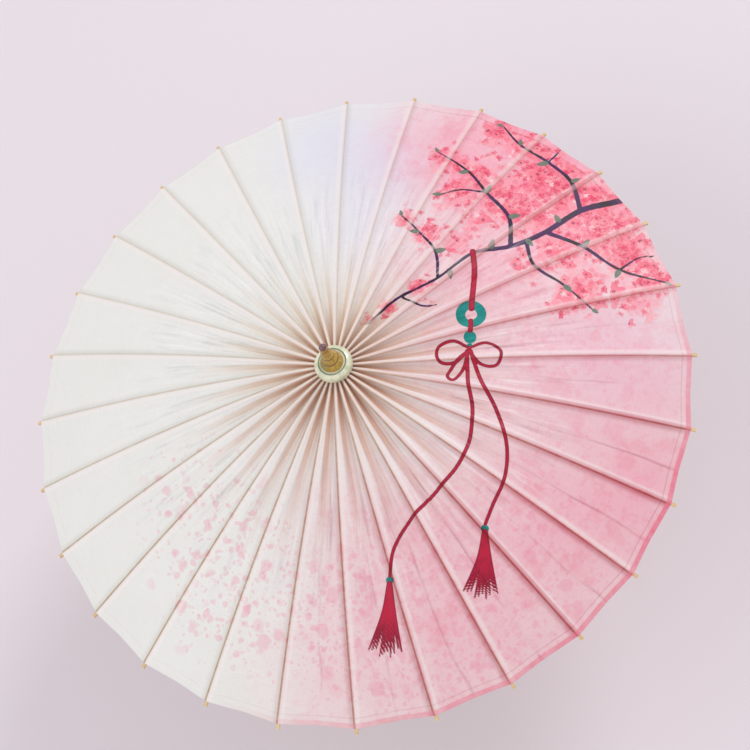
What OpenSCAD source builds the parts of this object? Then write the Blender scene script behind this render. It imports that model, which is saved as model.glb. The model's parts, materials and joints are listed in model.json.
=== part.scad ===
// Oil paper umbrella: pleated paper canopy on bowed bamboo ribs, with a sliding runner.
// +Z runs up the pole. The origin is the centre of the hand grip. The canopy is modelled open.
// Each long rib turns on a wire in the top hub. Each short rib joins a long rib to the runner.
// The hub pivot, the rib pin and the runner pivot form an isosceles triangle at every height of the runner.

/* [Ribs] */
// Number of long ribs, one for each long_rib node
rib_count = 28; // [28]
// Radius from the pole's axis to the tips of the open ribs
tip_radius = 420; // [410:1:430]
// Radius to the tips of the closed ribs
closed_tip_radius = 29; // [29:0.5:31]
// Angle of an open rib's chord below the horizontal
open_angle = 11.5; // [11:0.5:13]
// Rise of a long rib's bow above its chord
rib_bow = 12; // [11:0.5:13]
// Distance along the chord from the hub pivot to the rib pin
pin_place = 205; // [200:1:210]
// Depth of the rib's centre line above the rib pin
pin_drop = 1; // [0.8:0.1:1.2]
// Thickness of each rib where it sits in a hub slot
rib_thick = 1.8; // [1.7:0.05:1.85]
// Depth of a short rib
short_rib_depth = 4.2; // [3.8:0.1:4.2]

/* [Paper] */
// Thickness of the oiled paper
paper_thick = 0.4; // [0.3:0.1:0.5]
// Length of bare rib beyond the paper's edge
bare_tip = 6; // [4:1:8]
// Depth of the pleat between two ribs near the hub
pleat_depth = 1.6; // [1:0.1:1.8]

/* [Pole and handle] */
// Radius of the bamboo pole
pole_radius = 6.5; // [6.5]
// Radius of the hand grip
grip_radius = 11; // [10:0.5:12]
// Length of the hand grip, end to end
grip_length = 84; // [80:1:86]
// Height of the hub pivots above the centre of the grip
hub_height = 486; // [484:1:496]

/* [Hubs and runner] */
// Radius from the pole's axis to the pivots, in the top hub and in the runner
pivot_radius = 14; // [14]
// Outer radius of the top hub
hub_radius = 19.5; // [19:0.1:19.5]
// Outer radius of the runner's slotted head
runner_radius = 19; // [18:0.5:19.5]
// Outer radius of the runner's sleeve
sleeve_radius = 10.8; // [10.2:0.1:10.8]
// Length of the runner's sleeve below its head
sleeve_length = 25; // [20:1:26]
// Width of the slots in the top hub and in the runner
slot_width = 2; // [1.95:0.05:2.1]

/* [Top cap] */
// Largest radius of the collar over the paper
collar_radius = 23.5; // [23:0.5:25]
// Height of the collar's top above the hub pivots
collar_top = 15; // [14:0.5:16]
// Radius of the spire's foot
spire_foot_radius = 14.2; // [13.5:0.1:14.5]

/* [Hidden] */
$fn = 64;
gap = 0.05;              // between two pieces that are fixed together
run_gap = 0.08;          // between the runner and the pole
pitch = 360 / rib_count;
half_pitch = pitch / 2;
skip_every = 7;          // every seventh long rib has no short rib in this model

chord = (tip_radius - pivot_radius) / cos(open_angle);
closed_angle = acos((closed_tip_radius - pivot_radius) / chord);
pin_height = bow(pin_place) - pin_drop;
arm = norm([pin_place, pin_height]);
pin_angle = atan(pin_height / pin_place);
arm_open = open_angle - pin_angle;
arm_closed = closed_angle - pin_angle;
runner_drop = 2 * arm * sin(arm_open);
runner_travel = 2 * arm * (sin(arm_closed) - sin(arm_open));
runner_height = hub_height - runner_drop;

eye_radius = 2.5;        // of a long rib's rounded inner end
wire_radius = 0.6;
wire_hole = 0.7;
wire_channel = 0.66;
pin_radius = 0.7;
pin_hole = 0.76;
pin_length = 4.4;
slot_floor = 11;         // radius of the hub's core, where each slot ends
hub_top = 4.2;           // above the hub pivots
hub_bottom = 12;         // below the hub pivots
slot_roof = 3.2;
head_half = 5;           // half the height of the runner's head
boss_height = 5;         // of the ring above the runner's head
rib_slot_width = 2.2;
rib_slot_inner = 20;     // the rib's slot runs from here inside the pin
rib_slot_outer = 46;     // to here outside it
rib_slot_rise = 2.5;     // and this far above it
pole_bottom = 4;         // above the bottom of the grip
pole_top = 27;           // above the hub pivots
peg_radius = 1.2;
peg_half_length = 10.6;
peg_place = 8;           // below the hub pivots
groove_radius = 16.5;
canopy_gap = 0.3;        // between the paper and the ribs under it
canopy_inner = 6.4;      // along the chord, where the paper starts
canopy_rings = 11;

catch_height = 20;
catch_thick = 2.6;
catch_reach = 9.2;       // radius of the catch's shoulder
catch_back = 0.5;
catch_travel = 2.6;
pocket_gap = 0.2;
keyway_width = 3.2;
keyway_radius = 9.5;
catch_top = runner_height - head_half - sleeve_length - 0.3;

// Width and depth of a long rib at places along its chord.
rib_widths = [[0, rib_thick], [9, rib_thick], [90, 4.2], [170, 4.8], [255, 4.8], [390, 4.0], [430, 3.6]];
rib_depths = [[0, 5], [100, 5.4], [170, 6], [250, 5.5], [400, 3], [430, 2.6]];
rib_steps = 24;

function node_name(start, i) = str(start, i < 9 ? "0" : "", i + 1);
function has_short_rib(i) = (i + 1) % skip_every != 0;

// Height of a rib's centre line above its chord.
function bow(x) = 4 * rib_bow * (x / chord) * (1 - x / chord);
function rib_width(x) = lookup(x, rib_widths);
function rib_top(x) = bow(x) + lookup(x, rib_depths) / 2;
function rib_bottom(x) = bow(x) - lookup(x, rib_depths) / 2;
function rib_station(k) = chord * k / rib_steps;

// Points of an arc, from one angle to another.
function arc(centre, radius, from, to, steps) = [
    for (k = [0 : steps])
        let (a = from + (to - from) * k / steps)
        [centre[0] + radius * cos(a), centre[1] + radius * sin(a)]
];

// Turns a shape in the XY plane to stand in the XZ plane, with its thickness along Y.
module upright(thick) {
    rotate([90, 0, 0])
        linear_extrude(height = thick, center = true)
            children();
}

// Places a shape in the frame of rib i: its origin at the hub pivot, X along the open chord.
module at_rib(i) {
    rotate([0, 0, i * pitch])
        translate([pivot_radius, 0, hub_height])
            rotate([0, open_angle, 0])
                children();
}

module rib_slots(width, inner, bottom, top) {
    for (i = [0 : rib_count - 1])
        rotate([0, 0, i * pitch])
            translate([inner, -width / 2, bottom])
                cube([hub_radius + 3 - inner, width, top - bottom]);
}

// ---- Paper ----

// Along the chord, the place of each ring of the canopy.
function ring_place(k) = canopy_inner + (chord - bare_tip - canopy_inner) * k / (canopy_rings - 1);
// Depth of the pleat, which is shallow at the hub, deep at a tenth and gone towards the rim.
function pleat(k) = pleat_depth * (0.35 + 0.65 * sin(180 * pow(k / (canopy_rings - 1), 0.6)));
function ring_radius(x, rise) =
    pivot_radius + x * cos(open_angle) + (rib_top(x) + rise) * sin(open_angle);
function ring_height(x, rise) =
    hub_height - x * sin(open_angle) + (rib_top(x) + rise) * cos(open_angle);
// Three points a gore: the two edges of the strip over a rib, and the pleat's valley.
function gore_points(i, k, rise) =
    let (
        x = ring_place(k),
        r = ring_radius(x, rise),
        z = ring_height(x, rise),
        edge = rib_width(x) / 2 + 0.3,
        valley = r * cos(half_pitch),
        a = i * pitch
    ) [
        [r * cos(a) + edge * sin(a), r * sin(a) - edge * cos(a), z],
        [r * cos(a) - edge * sin(a), r * sin(a) + edge * cos(a), z],
        [valley * cos(a + half_pitch), valley * sin(a + half_pitch), z - pleat(k)]
    ];
function canopy_points(rise) = [
    for (k = [0 : canopy_rings - 1])
        for (i = [0 : rib_count - 1])
            each gore_points(i, k, rise)
];

module canopy() {
    around = 3 * rib_count;
    under = canopy_points(canopy_gap);
    over = [for (p = under) p + [0, 0, paper_thick]];
    n = len(under);
    last = (canopy_rings - 1) * around;
    quads = [
        for (k = [0 : canopy_rings - 2])
            for (j = [0 : around - 1])
                let (a = k * around + j, b = k * around + (j + 1) % around)
                [a, b, b + around, a + around]
    ];
    top_faces = [
        for (q = quads)
            each [[n + q[0], n + q[1], n + q[2]], [n + q[0], n + q[2], n + q[3]]]
    ];
    bottom_faces = [
        for (q = quads)
            each [[q[2], q[1], q[0]], [q[3], q[2], q[0]]]
    ];
    inner_faces = [
        for (j = [0 : around - 1])
            let (b = (j + 1) % around)
            each [[j, b, n + b], [j, n + b, n + j]]
    ];
    outer_faces = [
        for (j = [0 : around - 1])
            let (a = last + j, b = last + (j + 1) % around)
            each [[b, a, n + a], [b, n + a, n + b]]
    ];
    color("mistyrose")
        polyhedron(concat(under, over), concat(top_faces, bottom_faces, inner_faces, outer_faces));
}

// ---- Ribs ----

module long_rib_outline() {
    upper = [for (k = [0 : rib_steps]) [rib_station(k), rib_top(rib_station(k))]];
    lower = [for (k = [rib_steps : -1 : 0]) [rib_station(k), rib_bottom(rib_station(k))]];
    circle(r = eye_radius);
    polygon(concat(upper, lower));
}

// The rib seen from above: thin in the hub's slot, widest around the pin.
module long_rib_plan() {
    places = [-2 * eye_radius, 9, 90, 170, 255, chord];
    right = [for (x = places) [x, -rib_width(x) / 2]];
    left = [for (k = [len(places) - 1 : -1 : 0]) [places[k], rib_width(places[k]) / 2]];
    polygon(concat(right, left));
}

module cross_hole(x, z, radius, length) {
    translate([x, 0, z])
        rotate([90, 0, 0])
            cylinder(r = radius, h = length, center = true);
}

module long_rib(i) {
    color("burlywood")
        at_rib(i) {
            difference() {
                intersection() {
                    upright(8) long_rib_outline();
                    translate([0, 0, -10]) linear_extrude(height = 40) long_rib_plan();
                }
                cross_hole(0, 0, wire_hole, 10);
                cross_hole(pin_place, pin_height, pin_hole, 10);
                translate([pin_place - rib_slot_inner, -rib_slot_width / 2, 0])
                    cube([rib_slot_inner + rib_slot_outer, rib_slot_width, pin_height + rib_slot_rise]);
            }
            cross_hole(pin_place, pin_height, pin_radius, pin_length);
        }
}

module short_rib(i) {
    half = short_rib_depth / 2;
    color("tan")
        at_rib(i)
            translate([pin_place, 0, pin_height])
                rotate([0, 180 - arm_open - open_angle, 0])
                    difference() {
                        upright(rib_thick) {
                            circle(r = half);
                            translate([arm, 0]) circle(r = half);
                            translate([0, -half]) square([arm, short_rib_depth]);
                        }
                        cross_hole(0, 0, pin_hole, 10);
                        cross_hole(arm, 0, wire_hole, 10);
                    }
}

// ---- Top hub, collar and spire ----

module ring_wire(radius) {
    rotate_extrude()
        translate([pivot_radius, 0])
            circle(r = radius, $fn = 24);
}

module top_hub() {
    color("wheat")
        translate([0, 0, hub_height]) {
            difference() {
                translate([0, 0, -hub_bottom])
                    cylinder(r = hub_radius, h = hub_bottom + hub_top);
                translate([0, 0, -hub_bottom - 1])
                    cylinder(r = pole_radius + gap, h = hub_bottom + hub_top + 2);
                rib_slots(slot_width, slot_floor, -hub_bottom - 1, slot_roof);
                ring_wire(wire_channel);
                hub_peg(peg_radius + gap, peg_half_length + 0.2);
            }
            ring_wire(wire_radius);
            hub_peg(peg_radius, peg_half_length);
        }
}

// The bamboo peg that holds the hub to the pole, across both, between two ribs.
module hub_peg(radius, half_length) {
    rotate([0, 0, 90])
        translate([0, 0, -peg_place])
            rotate([0, 90, 0])
                cylinder(r = radius, h = 2 * half_length, center = true);
}

module collar() {
    shoulder = collar_radius - 3;
    profile = concat(
        [[pole_radius + gap, hub_top], [hub_radius + 0.4, hub_top], [hub_radius + 0.4, 3], [22, 3]],
        arc([collar_radius - 3, 6], 3, -30, 0, 3),
        arc([collar_radius - 6, 8.4], 6, 0, 68, 7),
        [[shoulder - 2.8, collar_top - 0.3], [groove_radius + 0.8, collar_top]],
        [[groove_radius + 0.8, collar_top - 0.9], [groove_radius - 0.8, collar_top - 0.9]],
        [[groove_radius - 0.8, collar_top], [pole_radius + gap, collar_top]]
    );
    color("beige")
        translate([0, 0, hub_height])
            rotate_extrude()
                polygon(profile);
}

// The turned spire: a domed foot and stepped rings that taper to a small knob.
module spire() {
    foot = spire_foot_radius;
    profile = concat(
        [[0, 0], [foot, 0], [foot, 2.2]],
        arc([0, 2.2], foot - 0.6, 0, 42, 8),
        [[10.2, 11.2], [10.2, 13.4]],
        arc([0, 12.8], 9.6, 8, 48, 6),
        [[7.2, 20.4], [7.2, 22.4], [6.5, 22.9], [5.8, 29.4]],
        [[6.3, 29.8], [6.3, 31.2], [5.5, 31.7], [4.5, 38]],
        [[5, 38.4], [5, 39.8], [4.2, 40.4]],
        arc([0, 43.6], 4.8, -30, 90, 9)
    );
    color("goldenrod")
        translate([0, 0, hub_height + collar_top])
            difference() {
                rotate_extrude() polygon(profile);
                translate([0, 0, -1])
                    cylinder(r = pole_radius + gap, h = pole_top - collar_top + 1 + gap);
            }
}

// ---- Pole, handle, runner and catch ----

module pole() {
    bottom = pole_bottom - grip_length / 2;
    color("burlywood")
        difference() {
            translate([0, 0, bottom])
                cylinder(r = pole_radius, h = hub_height + pole_top - bottom);
            translate([0, 0, hub_height]) hub_peg(peg_radius + gap, peg_half_length);
            translate([catch_back - catch_travel - pocket_gap - 0.2, -catch_thick / 2 - pocket_gap,
                       catch_top - catch_height - pocket_gap])
                cube([2 * pole_radius, catch_thick + 2 * pocket_gap, catch_height + 2 * pocket_gap]);
        }
}

module handle() {
    half = grip_length / 2;
    bevel = 2;
    color("saddlebrown")
        difference() {
            rotate_extrude()
                polygon([
                    [0, -half], [grip_radius - bevel, -half], [grip_radius, bevel - half],
                    [grip_radius, half - bevel], [grip_radius - bevel, half], [0, half]
                ]);
            translate([0, 0, pole_bottom - half - gap])
                cylinder(r = pole_radius + gap, h = grip_length);
        }
}

module runner() {
    tall = boss_height + 2 * head_half + sleeve_length;
    color("wheat")
        translate([0, 0, runner_height])
            difference() {
                union() {
                    translate([0, 0, -head_half - sleeve_length])
                        cylinder(r = sleeve_radius, h = tall);
                    translate([0, 0, -head_half])
                        cylinder(r = runner_radius, h = 2 * head_half);
                }
                translate([0, 0, -head_half - sleeve_length - 1])
                    cylinder(r = pole_radius + run_gap, h = tall + 2);
                rib_slots(slot_width, slot_floor, -head_half - 1, head_half + 1);
                translate([0, -keyway_width / 2, -head_half - sleeve_length - 1])
                    cube([keyway_radius, keyway_width, tall + 2]);
            }
}

// The catch under the open runner: a flat shoulder at the top and a long ramp below it.
module catch() {
    shoulder = catch_top;
    heel = catch_top - catch_height;
    color("silver")
        upright(catch_thick)
            polygon([
                [catch_back, heel], [pole_radius - 0.5, heel], [pole_radius - 0.5, heel + 2],
                [catch_reach, shoulder - 3], [catch_reach, shoulder], [catch_back, shoulder]
            ]);
}

canopy();
pole();
handle();
top_hub();
collar();
spire();
runner();
catch();
for (i = [0 : rib_count - 1]) {
    long_rib(i);
    if (has_short_rib(i))
        short_rib(i);
}
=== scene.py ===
"""Looks of the open oil paper umbrella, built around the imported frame. Lengths are in metres."""

import json
import math

import bmesh
import bpy
import numpy as np
from mathutils import Matrix, Vector


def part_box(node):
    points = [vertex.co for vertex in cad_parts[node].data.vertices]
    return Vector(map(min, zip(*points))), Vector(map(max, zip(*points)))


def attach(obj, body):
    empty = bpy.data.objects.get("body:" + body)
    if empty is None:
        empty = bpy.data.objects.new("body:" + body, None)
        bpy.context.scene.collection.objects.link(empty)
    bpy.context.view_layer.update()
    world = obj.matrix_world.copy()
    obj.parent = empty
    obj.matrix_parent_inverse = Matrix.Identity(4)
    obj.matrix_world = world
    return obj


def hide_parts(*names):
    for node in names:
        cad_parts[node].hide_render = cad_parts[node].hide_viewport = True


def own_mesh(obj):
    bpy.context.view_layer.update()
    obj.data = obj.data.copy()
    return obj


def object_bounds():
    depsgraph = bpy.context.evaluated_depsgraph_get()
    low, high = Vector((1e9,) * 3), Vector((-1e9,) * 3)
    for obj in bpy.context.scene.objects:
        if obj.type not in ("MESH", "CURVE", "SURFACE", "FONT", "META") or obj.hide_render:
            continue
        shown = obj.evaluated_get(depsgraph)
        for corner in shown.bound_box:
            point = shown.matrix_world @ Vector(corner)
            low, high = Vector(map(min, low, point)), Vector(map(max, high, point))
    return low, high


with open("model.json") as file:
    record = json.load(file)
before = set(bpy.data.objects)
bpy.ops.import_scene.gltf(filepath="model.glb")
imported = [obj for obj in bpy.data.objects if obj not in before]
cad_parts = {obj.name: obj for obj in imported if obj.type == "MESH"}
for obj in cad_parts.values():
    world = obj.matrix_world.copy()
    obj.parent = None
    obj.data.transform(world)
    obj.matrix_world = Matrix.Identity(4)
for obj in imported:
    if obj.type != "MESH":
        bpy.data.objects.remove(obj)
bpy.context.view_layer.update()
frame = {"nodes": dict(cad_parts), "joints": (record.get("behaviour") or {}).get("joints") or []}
nodes = frame["nodes"]
joints = {joint["name"]: joint for joint in frame["joints"]}

MM = 0.001
LONG_RIBS = sorted(n for n in nodes if n.startswith("long_rib_"))
RIB_COUNT = len(LONG_RIBS)
PITCH = 2 * math.pi / RIB_COUNT
HALF_PITCH = PITCH / 2

# ---- Paper sizes ----
PAPER_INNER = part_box("top_hub")[1].x + 0.8 * MM
PAPER_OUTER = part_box("canopy")[1].x
PAPER_THICK = 0.3 * MM
PAPER_LIFT = 0.15 * MM      # from the top of a rib to the paper's underside
PAPER_COLUMNS = 56          # across one gore; an even number
RADII = np.linspace(PAPER_INNER, PAPER_OUTER, 210)      # one for each row of points
PLEAT_DEPTH = 5 * MM
PLEAT_RADIUS = 90 * MM      # where the pleats are deepest
HEM_WIDTH = 11 * MM
HEM_STEP = 0.25 * MM        # how far the hem stands up
CREASE_WANDER = 0.05        # of the distance between two ribs
WRINKLE_RADIUS, WRINKLE_SPREAD = 190 * MM, 75 * MM      # where the wrinkles are deepest
WRINKLE_DEPTH = 0.95 * MM
WRINKLES_IN_GORE = 16
# Radii, and how far the paper may sink below a rib's top there, to clear a folded short rib.
SHORT_RIB_ROOM = (198 * MM, 212 * MM), (9 * MM, 1.5 * MM)

# ---- Linkage, wire and thread ----
PIVOT = Vector(joints["long_rib_01_hinge"]["pos_m"])    # of the first long rib, at the top hub
PIN = Vector(joints["short_rib_01_hinge"]["pos_m"])     # between the first long and short rib
SHORT_RIB_HALF = 2.1 * MM   # half a short rib's depth
RUNNER_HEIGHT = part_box("short_rib_01")[0].z + SHORT_RIB_HALF    # of the short ribs' inner pivots
WIRE_RADIUS = 0.6 * MM
WIRE_REACH = 1.04 * WIRE_RADIUS     # finds the faces of the wire in the hub's node
THREAD_RADIUS = 0.4 * MM
THREAD_RINGS, THREAD_SIDES = 41, 12     # points along a stretch and round it
THREAD_INSET = 3 * MM       # from the paper's edge
THREAD_DEPTH = 1.5 * MM     # below the ribs' tops, where it runs through the ribs


def link_object(name, data):
    made = bpy.data.objects.new(name, data)
    bpy.context.scene.collection.objects.link(made)
    return made


# ---- Camera ----
def place_camera():
    """The reference view: from above the rim, on the -Y side, and rolled."""
    distance = 1.809
    azimuth, elevation, roll = (math.radians(a) for a in (-85.71, 64.68, -33.49))
    rim_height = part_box(LONG_RIBS[0])[0].z
    target = Vector((0, 0, rim_height))
    flat = math.cos(elevation)
    outward = Vector((flat * math.cos(azimuth), flat * math.sin(azimuth), math.sin(elevation)))
    right = (-outward).cross(Vector((0, 0, 1))).normalized()
    up = right.cross(-outward)
    turned_right = right * math.cos(roll) + up * math.sin(roll)
    turned_up = up * math.cos(roll) - right * math.sin(roll)
    data = bpy.data.cameras.new("camera")
    data.lens = 69.8
    data.sensor_width = 36
    data.shift_x = 0.031
    data.shift_y = 0.022
    camera = link_object("camera", data)
    axes = Matrix((turned_right, turned_up, outward)).transposed()
    camera.matrix_world = Matrix.Translation(target + outward * distance) @ axes.to_4x4()
    bpy.context.scene.camera = camera
    bpy.context.scene.view_settings.view_transform = "Standard"


# ---- Mesh helpers ----
def smooth_object(name, mesh, smooth_angle):
    """An object whose shading is smooth, except at edges that are sharper than the angle."""
    mesh.polygons.foreach_set("use_smooth", np.ones(len(mesh.polygons), bool))
    mesh.set_sharp_from_angle(angle=math.radians(smooth_angle))
    return link_object(name, mesh)


def new_object(name, vertices, faces, smooth_angle):
    mesh = bpy.data.meshes.new(name)
    mesh.from_pydata(vertices, [], faces)
    return smooth_object(name, mesh, smooth_angle)


def sheet_object(name, top, thickness):
    """A closed sheet under a grid of points, whose rows run outward and columns anticlockwise."""
    rows, columns = top.shape[:2]
    count = rows * columns
    flat = top.reshape(-1, 3)
    vertices = np.concatenate([flat, flat - (0, 0, thickness)])
    index = np.arange(count).reshape(rows, columns)
    quads = np.stack([index[:-1, :-1], index[1:, :-1], index[1:, 1:], index[:-1, 1:]], -1)
    upper = quads.reshape(-1, 4)
    lower = upper[:, ::-1] + count
    ring = np.concatenate([index[:-1, 0], index[-1, :-1], index[:0:-1, -1], index[0, :0:-1]])
    after = np.roll(ring, -1)
    wall = np.stack([ring, ring + count, after + count, after], -1)
    return new_object(name, vertices, np.concatenate([upper, lower, wall]), smooth_angle=50)


def add_values(made, name, values):
    """Stores a number or a vector for each vertex. Those for a sheet's top do for both sides."""
    is_vector = values.shape[-1] == 3
    kind, key = ("FLOAT_VECTOR", "vector") if is_vector else ("FLOAT", "value")
    attribute = made.data.attributes.new(name, kind, "POINT")
    sides = len(attribute.data) * (3 if is_vector else 1) // values.size
    attribute.data.foreach_set(key, np.tile(values.ravel(), sides).astype(np.float32))


def noise(u, v, seed, around=256):
    """Smooth noise from -1 to 1 with lumps one unit wide. It repeats after that many units of u."""
    lattice = np.random.default_rng(seed).uniform(-1, 1, (around, 256))
    i, j = np.floor(u).astype(int), np.floor(v).astype(int)
    p, q = u - i, v - j
    p, q = p * p * (3 - 2 * p), q * q * (3 - 2 * q)
    i0, i1, j0, j1 = i % around, (i + 1) % around, j % 256, (j + 1) % 256
    near = lattice[i0, j0] * (1 - p) + lattice[i1, j0] * p
    far = lattice[i0, j1] * (1 - p) + lattice[i1, j1] * p
    return near * (1 - q) + far * q


# ---- The paper's shape ----
def rib_profile():
    """Height of a rib's top, and half its width, at each of the radii, read from the first rib."""
    rib = nodes[LONG_RIBS[0]]
    heights, halves = [], []
    for radius in RADII:
        above = Vector((radius, 0.1 * MM, 1))
        height = rib.ray_cast(above, Vector((0, 0, -1)))[1].z
        beside = Vector((radius, 1, height - 0.8 * MM))
        heights.append(height)
        halves.append(rib.ray_cast(beside, Vector((0, -1, 0)))[1].y)
    return np.polyval(np.polyfit(RADII, heights, 6), RADII), np.array(halves)


def pleat_depth(radius):
    x = radius / PLEAT_RADIUS
    near_hub = 1.2 * MM * np.exp((PAPER_INNER - radius) / (30 * MM))
    return PLEAT_DEPTH * (x * np.exp(1 - x)) ** 2.5 + near_hub


def fold_share(valley, place, radius, strip, luck):
    """From 0 over a rib to 1 at the crease between two ribs, which wanders about the middle."""
    crease = 0.5 + CREASE_WANDER * luck[valley]
    crease = crease + CREASE_WANDER * noise(valley * 3.7, radius / (45 * MM), 11)
    width = 2 * radius * math.sin(HALF_PITCH)
    left = (place * width - strip) / (crease * width - strip)
    right = ((1 - place) * width - strip) / ((1 - crease) * width - strip)
    return np.clip(np.minimum(left, right), 0, 1)


def paper_sink(valley, place, radius, down, luck):
    """How far the paper is below the ribs' tops: pleats towards the hub, and long wrinkles."""
    beat = (valley + place) * WRINKLES_IN_GORE
    around = RIB_COUNT * WRINKLES_IN_GORE
    middle = np.exp(-((radius - WRINKLE_RADIUS) / WRINKLE_SPREAD) ** 2)
    ripple = noise(beat, radius / (55 * MM), 21, around)
    ripple = ripple + 0.5 * noise(2 * beat, radius / (30 * MM), 22, 2 * around)
    depth = pleat_depth(radius) * (1 + 0.25 * luck[1][valley])
    beside_rib = 0.55 * MM * (1 - (1 - down) ** 5)
    wrinkle = WRINKLE_DEPTH * (1 + 0.45 * luck[0][(valley + 9) % RIB_COUNT])
    sink = depth * down + beside_rib - wrinkle * middle * ripple * np.sqrt(down)
    return np.minimum(sink, np.interp(radius, *SHORT_RIB_ROOM))


def paper_surface():
    """The top of the whole paper: gores, rows and columns of points. Also three values for each
    point: how far it is across its rib, how far out, and its share of the way down a fold."""
    rib_height, rib_half = rib_profile()
    half_columns = PAPER_COLUMNS // 2
    step = np.arange(-half_columns, half_columns + 1)
    share = np.abs(step) / half_columns
    spread = 0.55 * share + 0.45 * share ** 2.2     # columns crowd together over the rib
    gore = np.arange(RIB_COUNT)[:, None, None]
    radius = RADII[None, :, None] + 0 * gore
    phi = (np.sign(step) * spread * HALF_PITCH)[None, None, :]

    # Each point lies in a valley between two ribs, at a place from 0 on one to 1 on the next.
    to_middle = HALF_PITCH - np.abs(phi)
    along = 0.5 * (1 - np.tan(to_middle) / math.tan(HALF_PITCH))
    valley = np.where(phi < 0, gore - 1, gore) % RIB_COUNT
    place = np.where(phi < 0, 1 - along, along) + 0 * radius
    luck = np.random.default_rng(7).uniform(-1, 1, (2, RIB_COUNT))
    strip = rib_half[None, :, None] + 0.3 * MM
    down = fold_share(valley, place, radius, strip, luck[0])
    sink = paper_sink(valley, place, radius, down, luck)

    # The paper is straight between two ribs, and its edge is drawn in a little.
    angle = (gore * PITCH + phi) + 0 * radius
    rho = radius * math.cos(HALF_PITCH) / np.cos(to_middle)
    rho = rho - 1.5 * MM * down * (radius / PAPER_OUTER) ** 12
    x, y = rho * np.cos(angle), rho * np.sin(angle)
    crumple = 0.22 * MM * noise(x / (24 * MM), y / (24 * MM), 31)
    crumple = crumple + 0.1 * MM * noise(x / (9 * MM), y / (9 * MM), 32)
    hem = np.clip((radius - PAPER_OUTER + HEM_WIDTH) / MM, 0, 1)
    z = rib_height[None, :, None] + PAPER_LIFT + PAPER_THICK
    z = z - sink + crumple * down + HEM_STEP * hem
    across = np.sign(phi) * along * 2 * radius * math.sin(HALF_PITCH)
    return np.stack([x, y, z], -1), across, radius + 0 * x, down


# ---- Painting ----
# Its places are in millimetres from the pole, to the right and up, with the painting held upright.
PAINTING_TURN = math.radians(-32)       # from the part's X axis to the painting's right
FAR = 30.0                  # a distance that is certainly off the stroke
PAINT_EDGE = 0.45           # half the width of a painted edge
STREAKS_IN_GORE = 8         # crumpled streaks between two ribs


def smooth_line(points, steps=8):
    """A Catmull-Rom curve through the points."""
    p = np.array(points, float)
    p = np.concatenate([[2 * p[0] - p[1]], p, [2 * p[-1] - p[-2]]])
    t = np.linspace(0, 1, steps, endpoint=False)[:, None]
    parts = [
        0.5 * (2 * b + (c - a) * t + (2 * a - 5 * b + 4 * c - d) * t ** 2
               + (3 * b - a - 3 * c + d) * t ** 3)
        for a, b, c, d in zip(p, p[1:], p[2:], p[3:])
    ]
    return np.concatenate([*parts, p[-2:-1]])


def stroke(x, y, points, start, end):
    """Distance to the edge of a brush stroke, below 0 inside. Its width runs from start to end."""
    line = smooth_line(points)
    low, high = line.min(0) - 10, line.max(0) + 10
    near = (x > low[0]) & (x < high[0]) & (y > low[1]) & (y < high[1])
    px, py = x[near], y[near]
    best = np.full(px.shape, FAR)
    halves = np.linspace(start / 2, end / 2, len(line))
    for a, b, ha, hb in zip(line, line[1:], halves, halves[1:]):
        d = b - a
        t = np.clip(((px - a[0]) * d[0] + (py - a[1]) * d[1]) / (d @ d), 0, 1)
        gap = np.hypot(px - a[0] - t * d[0], py - a[1] - t * d[1])
        best = np.minimum(best, gap - ha - t * (hb - ha))
    distance = np.full(x.shape, FAR)
    distance[near] = best
    return distance


def leaf(x, y, place, angle, length):
    """Distance to the edge of a leaf that starts at a place and points along an angle."""
    a = math.radians(angle)
    u = (x - place[0]) * math.cos(a) + (y - place[1]) * math.sin(a)
    v = (y - place[1]) * math.cos(a) - (x - place[0]) * math.sin(a)
    t = np.clip(u / length, 0, 1)
    half = 0.42 * length * np.sqrt(t) * (1 - t) * 1.6
    return np.hypot(u - t * length, v) - half


def nearest(fields):
    best = np.full_like(fields[0], FAR)
    for field in fields:
        best = np.minimum(best, field)
    return best


def blobs(x, y, spots):
    """From 0 to 1: soft round patches, each with a place, a radius and a strength."""
    clear = np.ones_like(x)
    for px, py, size, strength in spots:
        clear *= 1 - strength * np.exp(-((x - px) ** 2 + (y - py) ** 2) / size ** 2)
    return 1 - clear


# Each branch: its points, its width at the start and at the end. The first one is the bough.
BRANCHES = [
    ([(322, 252), (276, 232), (236, 196), (196, 172), (150, 158), (112, 122), (70, 96),
      (38, 60)], 9, 2),
    ([(276, 232), (262, 276), (232, 306), (196, 332), (170, 366)], 6, 2),
    ([(232, 306), (246, 328)], 3, 2),
    ([(236, 196), (282, 178), (326, 150), (380, 138)], 6, 2),
    ([(326, 150), (348, 170), (366, 174)], 3, 2),
    ([(196, 172), (190, 216), (160, 252), (134, 286), (92, 318)], 6, 2),
    ([(160, 252), (128, 256), (104, 248)], 3, 2),
    ([(214, 180), (226, 146), (262, 122), (296, 92)], 5, 2),
    ([(112, 122), (106, 160), (82, 190), (58, 214)], 4, 2),
    ([(70, 96), (94, 84), (114, 86)], 3, 2),
]

# Each leaf: where it starts, the way it points in degrees, and its length.
LEAVES = [
    ((252, 212), 120, 14), ((214, 184), 310, 14), ((262, 276), 30, 14), ((232, 306), 200, 16),
    ((196, 332), 100, 12), ((170, 366), 160, 10), ((282, 178), 60, 14), ((326, 150), 250, 14),
    ((380, 138), 340, 10), ((190, 216), 10, 16), ((160, 252), 70, 14), ((134, 286), 190, 14),
    ((92, 318), 120, 10), ((104, 248), 180, 12), ((262, 122), 320, 14), ((296, 92), 330, 10),
    ((106, 160), 20, 14), ((82, 190), 180, 12), ((58, 214), 110, 10), ((126, 134), 280, 14),
    ((38, 60), 215, 10), ((172, 166), 80, 16),
]

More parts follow.
